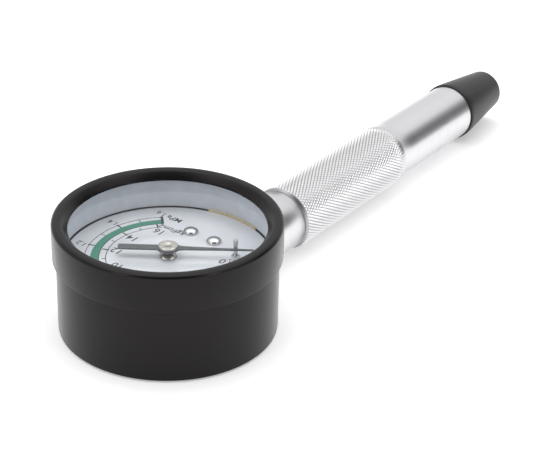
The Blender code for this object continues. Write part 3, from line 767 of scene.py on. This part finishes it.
def neck():
    """Turned neck whose near end is shaped to the round case."""
    s0 = 29.6
    s1 = -NECK_LOW.y
    face = GRIP_START - 0.25
    stem_r = 5.8
    stem_end = 46.0
    spigot_r = 6.5
    bore = 1.5
    outline = [(stem_r, s0), (NECK_R, s0), (NECK_R, 40.0), (NECK_R, face - 0.25)]
    outline += [(NECK_R - 0.25, face + 0.2), (spigot_r, face + 0.25), (spigot_r, s1), (bore, s1)]
    outline += [(bore, stem_end), (stem_r, stem_end)]

    def saddle(r, s, a):
        x, y, z = along_handle(r, s, a)
        if s < s0 + 0.4:
            y = -math.sqrt(max(0.0, (CASE_R + 0.03) ** 2 - x * x))
        return (x, y, z)

    add_piece("neck_sleeve", *turned(outline, 112, saddle), "turned_aluminium", "housing", ["neck_adapter"])


def grip():
    """Knurled sleeve: rows of flat-topped diamonds between two families of V grooves, then a plain taper."""
    columns = 118
    rows = 58
    depth = KNURL_DEPTH
    top = 0.48
    fading_rows = 4.0
    first = GRIP_START + 0.65
    step = (GRIP_END - 0.35 - first) / rows
    end_r = BARREL_START_R + 0.02
    points = []
    faces = []

    def vertex(sink, row, column):
        a = 2.0 * math.pi * column / columns
        full = min(1.0, (rows - row) / fading_rows)
        radius = end_r + (KNURL_R - end_r - sink) * full
        points.append(along_handle(radius, first + row * step, a))
        return len(points) - 1

    corners = {}
    for row in range(rows + 1):
        for column in range(columns):
            if (row + column) % 2 == 0:
                corners[row, column] = vertex(depth, row, column)
    near_ring = [None] * columns
    far_ring = [None] * columns
    near_r = NECK_R + 0.05
    for column in range(0, columns, 2):
        near_ring[column] = len(points)
        points.append(along_handle(near_r, GRIP_START, 2.0 * math.pi * column / columns))
    odd = (rows % 2)
    for column in range(odd, columns, 2):
        far_ring[column] = len(points)
        points.append(along_handle(end_r, GRIP_END - 0.08, 2.0 * math.pi * column / columns))

    def corner(row, column):
        return corners[row, column % columns]

    for row in range(rows + 1):
        for column in range(columns):
            if (row + column) % 2 == 0:
                continue
            left = corner(row, column - 1)
            right = corner(row, column + 1)
            tops = {
                "left": vertex(0.0, row, column - top),
                "right": vertex(0.0, row, column + top),
            }
            if row > 0:
                tops["up"] = vertex(0.0, row - top, column)
                up = corner(row - 1, column)
                faces.append((left, up, tops["up"], tops["left"]))
                faces.append((up, right, tops["right"], tops["up"]))
            if row < rows:
                tops["down"] = vertex(0.0, row + top, column)
                down = corner(row + 1, column)
                faces.append((right, down, tops["down"], tops["right"]))
                faces.append((down, left, tops["left"], tops["down"]))
            faces.append(tuple(tops[k] for k in ("left", "up", "right", "down") if k in tops))
            if row == 0:
                faces.append((left, tops["left"], tops["right"], right,
                              near_ring[(column + 1) % columns], near_ring[(column - 1) % columns]))
            if row == rows:
                faces.append((right, tops["right"], tops["left"], left,
                              far_ring[(column - 1) % columns], far_ring[(column + 1) % columns]))
    near = [i for i in near_ring if i is not None]
    far = [i for i in far_ring if i is not None]
    count = len(near)

    def ring(radius, s, offset=0):
        start = len(points)
        for i in range(count):
            a = 2.0 * math.pi * (2 * i + offset) / columns
            points.append(along_handle(radius, s, a))
        return list(range(start, start + count))

    def bridge(a, b):
        for i in range(count):
            j = (i + 1) % count
            faces.append((a[i], a[j], b[j], b[i]))

    inner_r = 6.8
    chain = [far, ring(BARREL_START_R, GRIP_END, odd), ring(inner_r, GRIP_END, odd)]
    chain += [ring(inner_r, GRIP_START + 0.1), ring(near_r - 0.1, GRIP_START), near]
    for a, b in zip(chain, chain[1:]):
        bridge(a, b)
    add_piece("grip_sleeve", points, faces, "knurled_aluminium", "housing", ["knurled_grip"], sharp=22.0)


def barrel():
    """Smooth barrel that narrows a little just after the knurl."""
    s0 = GRIP_END + 0.03
    s1 = -BARREL_LOW.y
    spigot_r = 6.5
    spigot_start = s0 - 10.0
    passage = 3.0
    bore = 6.0
    bore_start = s1 - 17.9
    taper = 5.3
    outline = [(passage, spigot_start), (spigot_r, spigot_start), (spigot_r, s0)]
    for i in range(9):
        t = i / 8
        outline.append((NECK_R + (BARREL_START_R - NECK_R) * (1.0 - t) ** 1.6, s0 + taper * t))
    outline += [(NECK_R, s1 - 0.2), (NECK_R - 0.2, s1), (bore, s1), (bore, bore_start), (passage, bore_start)]
    handle_piece("barrel_sleeve", outline, 112, "turned_aluminium", ["barrel_tube"])


def cone():
    """Moulded rubber cone: rolled lip, short parallel band, long taper and a rounded end."""
    s0 = -CONE_HIGH.y - 0.2
    s1 = -CONE_LOW.y
    bore = 5.2
    mouth = 3.0
    band_r = 8.9
    end_r = 6.4
    rounding = 0.9
    seat_s = 152.9  # the holder inside ends here
    outline = [(bore, s0)]
    outline += arc(0.35, -90.0, -5.0, 4, (CONE_R - 0.36, s0 + 0.4))
    outline += [(CONE_R, s0 + 0.9), (CONE_R - 0.02, s0 + 1.4), (CONE_R - 0.09, s0 + 2.2), (band_r, s0 + 3.3)]
    outline += arc(rounding, 6.0, 90.0, 8, (end_r - rounding, s1 - rounding))
    outline += [(mouth + 0.3, s1), (mouth, s1 - 0.3), (mouth, seat_s + 0.6), (bore, seat_s)]
    handle_piece("cone_tip", outline, 96, "black_rubber", ["cone_nozzle"])


# ---------------------------------------------------------------- pieces left without a body


def bourdon():
    """The flattened tube in two pieces: one fixed at the socket, and the free half towards the moving end,
    left without a body.
    """
    radius = 20.0
    half_r = 1.2
    half_z = 4.5
    spans = (("tube_fixed_half", 248.0, 90.0), ("tube_free_half", 90.0, -30.0))
    for name, start, end in spans:
        steps = 40
        sections = []
        for i in range(steps + 1):
            angle = start + (end - start) * i / steps
            section = []
            for side in (1.0, -1.0):
                for k in range(9):
                    a = math.pi * k / 8
                    radial = half_r * math.cos(a) * side
                    height = side * (half_z - half_r + half_r * math.sin(a))
                    section.append((*polar(radius + radial, angle), AXIS_Z + height))
            sections.append(section)
        fixed = name == "tube_fixed_half"
        body = "housing" if fixed else None
        piece = add_piece(name, *loft(sections), "bronze", body, ["bourdon_tube"])
        if not fixed:
            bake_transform(piece)


def valve_coil():
    """The valve's spring, a coiled wire left without a body."""
    wire_r = 0.18
    low, high = box_mm("valve_spring")
    coil_r = high.x - wire_r
    s0 = -high.y + wire_r
    s1 = -low.y - wire_r
    turns = 5
    steps = 20 * turns
    sections = []
    for i in range(steps + 1):
        t = i / steps
        wire = arc(wire_r, 0.0, 315.0, 7, (coil_r, s0 + (s1 - s0) * t))
        sections.append([along_handle(r, s, 2.0 * math.pi * turns * t) for r, s in wire])
    piece = add_piece("valve_coil", *loft(sections), "steel", None, ["valve_spring"])
    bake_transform(piece)


camera()
studio()
floor()
finish_cad_nodes()
case_and_bezel()
window_and_spacer()
dial()
pointer()
neck()
grip()
barrel()
cone()
bourdon()
valve_coil()
